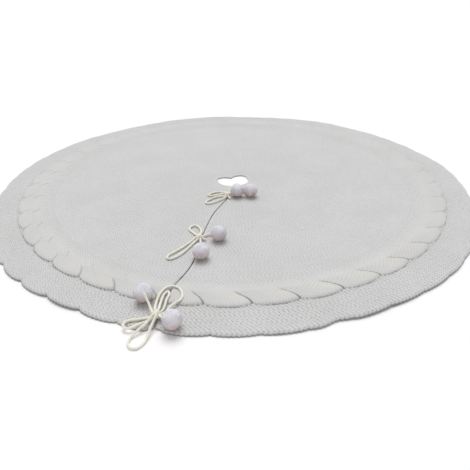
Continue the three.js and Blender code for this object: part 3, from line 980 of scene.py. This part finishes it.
def pompom_skin(radius, directions):
    """Points of the tufted ball, and 1 on a tuft's crest to 0 between tufts."""
    tufts = fibonacci_sphere(TUFTS)
    tufts = unit(tufts + rng.normal(0, TUFT_JITTER, tufts.shape))
    closeness = np.concatenate([
        (directions[start:start + TUFT_BATCH] @ tufts.T).max(axis=1)
        for start in range(0, len(directions), TUFT_BATCH)
    ])
    away = np.arccos(np.clip(closeness, -1, 1)) * radius
    crest = np.clip(1 - (away / TUFT_RADIUS)**2, 0, 1)
    ways = rng.normal(0, 1, (LUMPS, 3))
    lumps = sum(np.sin(directions @ way * 4 + number) for number, way in enumerate(ways))
    out = radius - SKIN_DEPTH + TUFT_HEIGHT * crest + LUMP_HEIGHT * lumps
    return made_oval(directions * out[:, None]), crest


def pompom_fibres(radius):
    """Corners of the fibres, four to each."""
    roots = fibonacci_sphere(FIBRES)
    leaning = roots + rng.normal(0, FIBRE_LEAN, roots.shape)
    near_floor = roots[:, 2] < -0.6
    leaning[:, 2] = np.where(near_floor, leaning[:, 2] * 0.6, leaning[:, 2])
    leaning = unit(leaning)
    reach = rng.uniform(*FIBRE_REACH, FIBRES)[:, None] * MM
    foot = made_oval(roots * (radius - FIBRE_DEPTH))
    side_way = unit(np.cross(leaning, [0.3, 0.5, 0.8]))
    other_way = np.cross(leaning, side_way)
    corners = [
        foot + FIBRE_RADIUS * (side_way * math.cos(turn) + other_way * math.sin(turn))
        for turn in (0, TURN / 3, 2 * TURN / 3)
    ]
    return np.stack([*corners, foot + leaning * reach], axis=1).reshape(-1, 3)


def make_pompom(tie, side):
    """A dense ball of cut yarn: close-set tufts, with short fibres standing out of them."""
    node = f"{tie}_pompom_{side}"
    centre, radius = np.array(box_middle(node)), box_radius(node)
    directions, triangles = ball_mesh()
    skin, crest = pompom_skin(radius, directions)
    fibres = pompom_fibres(radius)
    first_corners = len(skin) + 4 * np.arange(FIBRES)[:, None]
    cones = [first_corners + np.array(face) for face in FIBRE_FACES]
    vertices = np.vstack([skin, fibres]) + centre
    fibre_shade = np.repeat(rng.uniform(*FIBRE_SHADE_RANGE, FIBRES), 4)
    # Painted shade between the tufts.
    tuft_shade = 0.34 + 0.30 * crest
    shade = np.concatenate([tuft_shade, fibre_shade])
    # Painted shade, warm, darkening each ball towards its bottom.
    downwards = (centre[2] - vertices[:, 2]) / radius
    return add_mesh(f"{node}_yarn", vertices, [np.vstack([triangles, *cones])], WHITE_YARN,
                    crest=shade, underside=ease(downwards, -0.8, 0.85))


def fibonacci_sphere(count):
    """Evenly spread directions."""
    index = np.arange(count) + 0.5
    height = 1 - 2 * index / count
    turn = index * math.pi * (1 + math.sqrt(5))
    level = np.sqrt(1 - height**2)
    return np.stack([level * np.cos(turn), level * np.sin(turn), height], axis=1)


def dress_tie(tie):
    knot = make_knot(tie)
    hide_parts(f"{tie}_knot")
    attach(knot, "skirt")
    for side, stretches in BOWS[tie].items():
        path = bow_path(tie, stretches)
        bow = twisted_cord(f"{tie}_bow_{side}", path, CORD_DIAMETER, CREAM_CORD)
        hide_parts(*[f"{tie}_{stretch}" for stretch in stretches])
        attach(bow, "skirt")

        pompom = make_pompom(tie, side)
        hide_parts(f"{tie}_pompom_{side}")
        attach(pompom, f"{tie}_{side}_end")
        path = tail_path(tie, side)
        tail = twisted_cord(f"{tie}_tail_{side}_cord", path, CORD_DIAMETER, CREAM_CORD)
        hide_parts(f"{tie}_tail_{side}")
        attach(tail, f"{tie}_{side}_end")


# ---------- surroundings ----------

def make_floor():
    half = 40.0
    vertices = np.array([(-half, -half, 0), (half, -half, 0), (half, half, 0), (-half, half, 0)])
    paper = bpy.data.materials.new("white_floor")
    paper.use_nodes = True
    shader = paper.node_tree.nodes["Principled BSDF"]
    shader.inputs["Base Color"].default_value = (0.95, 0.95, 0.95, 1)
    shader.inputs["Roughness"].default_value = 1.0
    shader.inputs["Specular IOR Level"].default_value = 0.0
    add_mesh("floor", vertices, [np.array([[0, 1, 2, 3]])], paper)


def make_lights():
    """A surround that is white up to a little over the horizon and grey overhead, and one
    broad soft light from above and behind."""
    world = bpy.data.worlds.new("studio")
    world.use_nodes = True
    tree = world.node_tree
    direction = add_node(tree, "ShaderNodeTexCoord")
    parts = add_node(tree, "ShaderNodeSeparateXYZ")
    sky = add_node(tree, "ShaderNodeValToRGB")
    sky.color_ramp.elements[0].position = 0.22
    sky.color_ramp.elements[0].color = (1, 1, 1, 1)
    sky.color_ramp.elements[1].position = 0.34
    sky.color_ramp.elements[1].color = (0.5, 0.5, 0.5, 1)
    tree.links.new(direction.outputs["Generated"], parts.inputs["Vector"])
    tree.links.new(parts.outputs["Z"], sky.inputs["Fac"])
    tree.links.new(sky.outputs["Color"], tree.nodes["Background"].inputs["Color"])
    bpy.context.scene.world = world
    data = bpy.data.lights.new("soft_light", "SUN")
    data.energy = 1.85
    data.angle = math.radians(42)
    light = bpy.data.objects.new("soft_light", data)
    toward = Vector((-0.12, 0.42, 1.0))
    light.rotation_euler = toward.to_track_quat("Z", "Y").to_euler()
    bpy.context.scene.collection.objects.link(light)
    bpy.context.scene.view_settings.view_transform = "Standard"


make_camera()
for tie_name in ROUTES:
    dress_tie(tie_name)
dress_cloth()
make_floor()
make_lights()
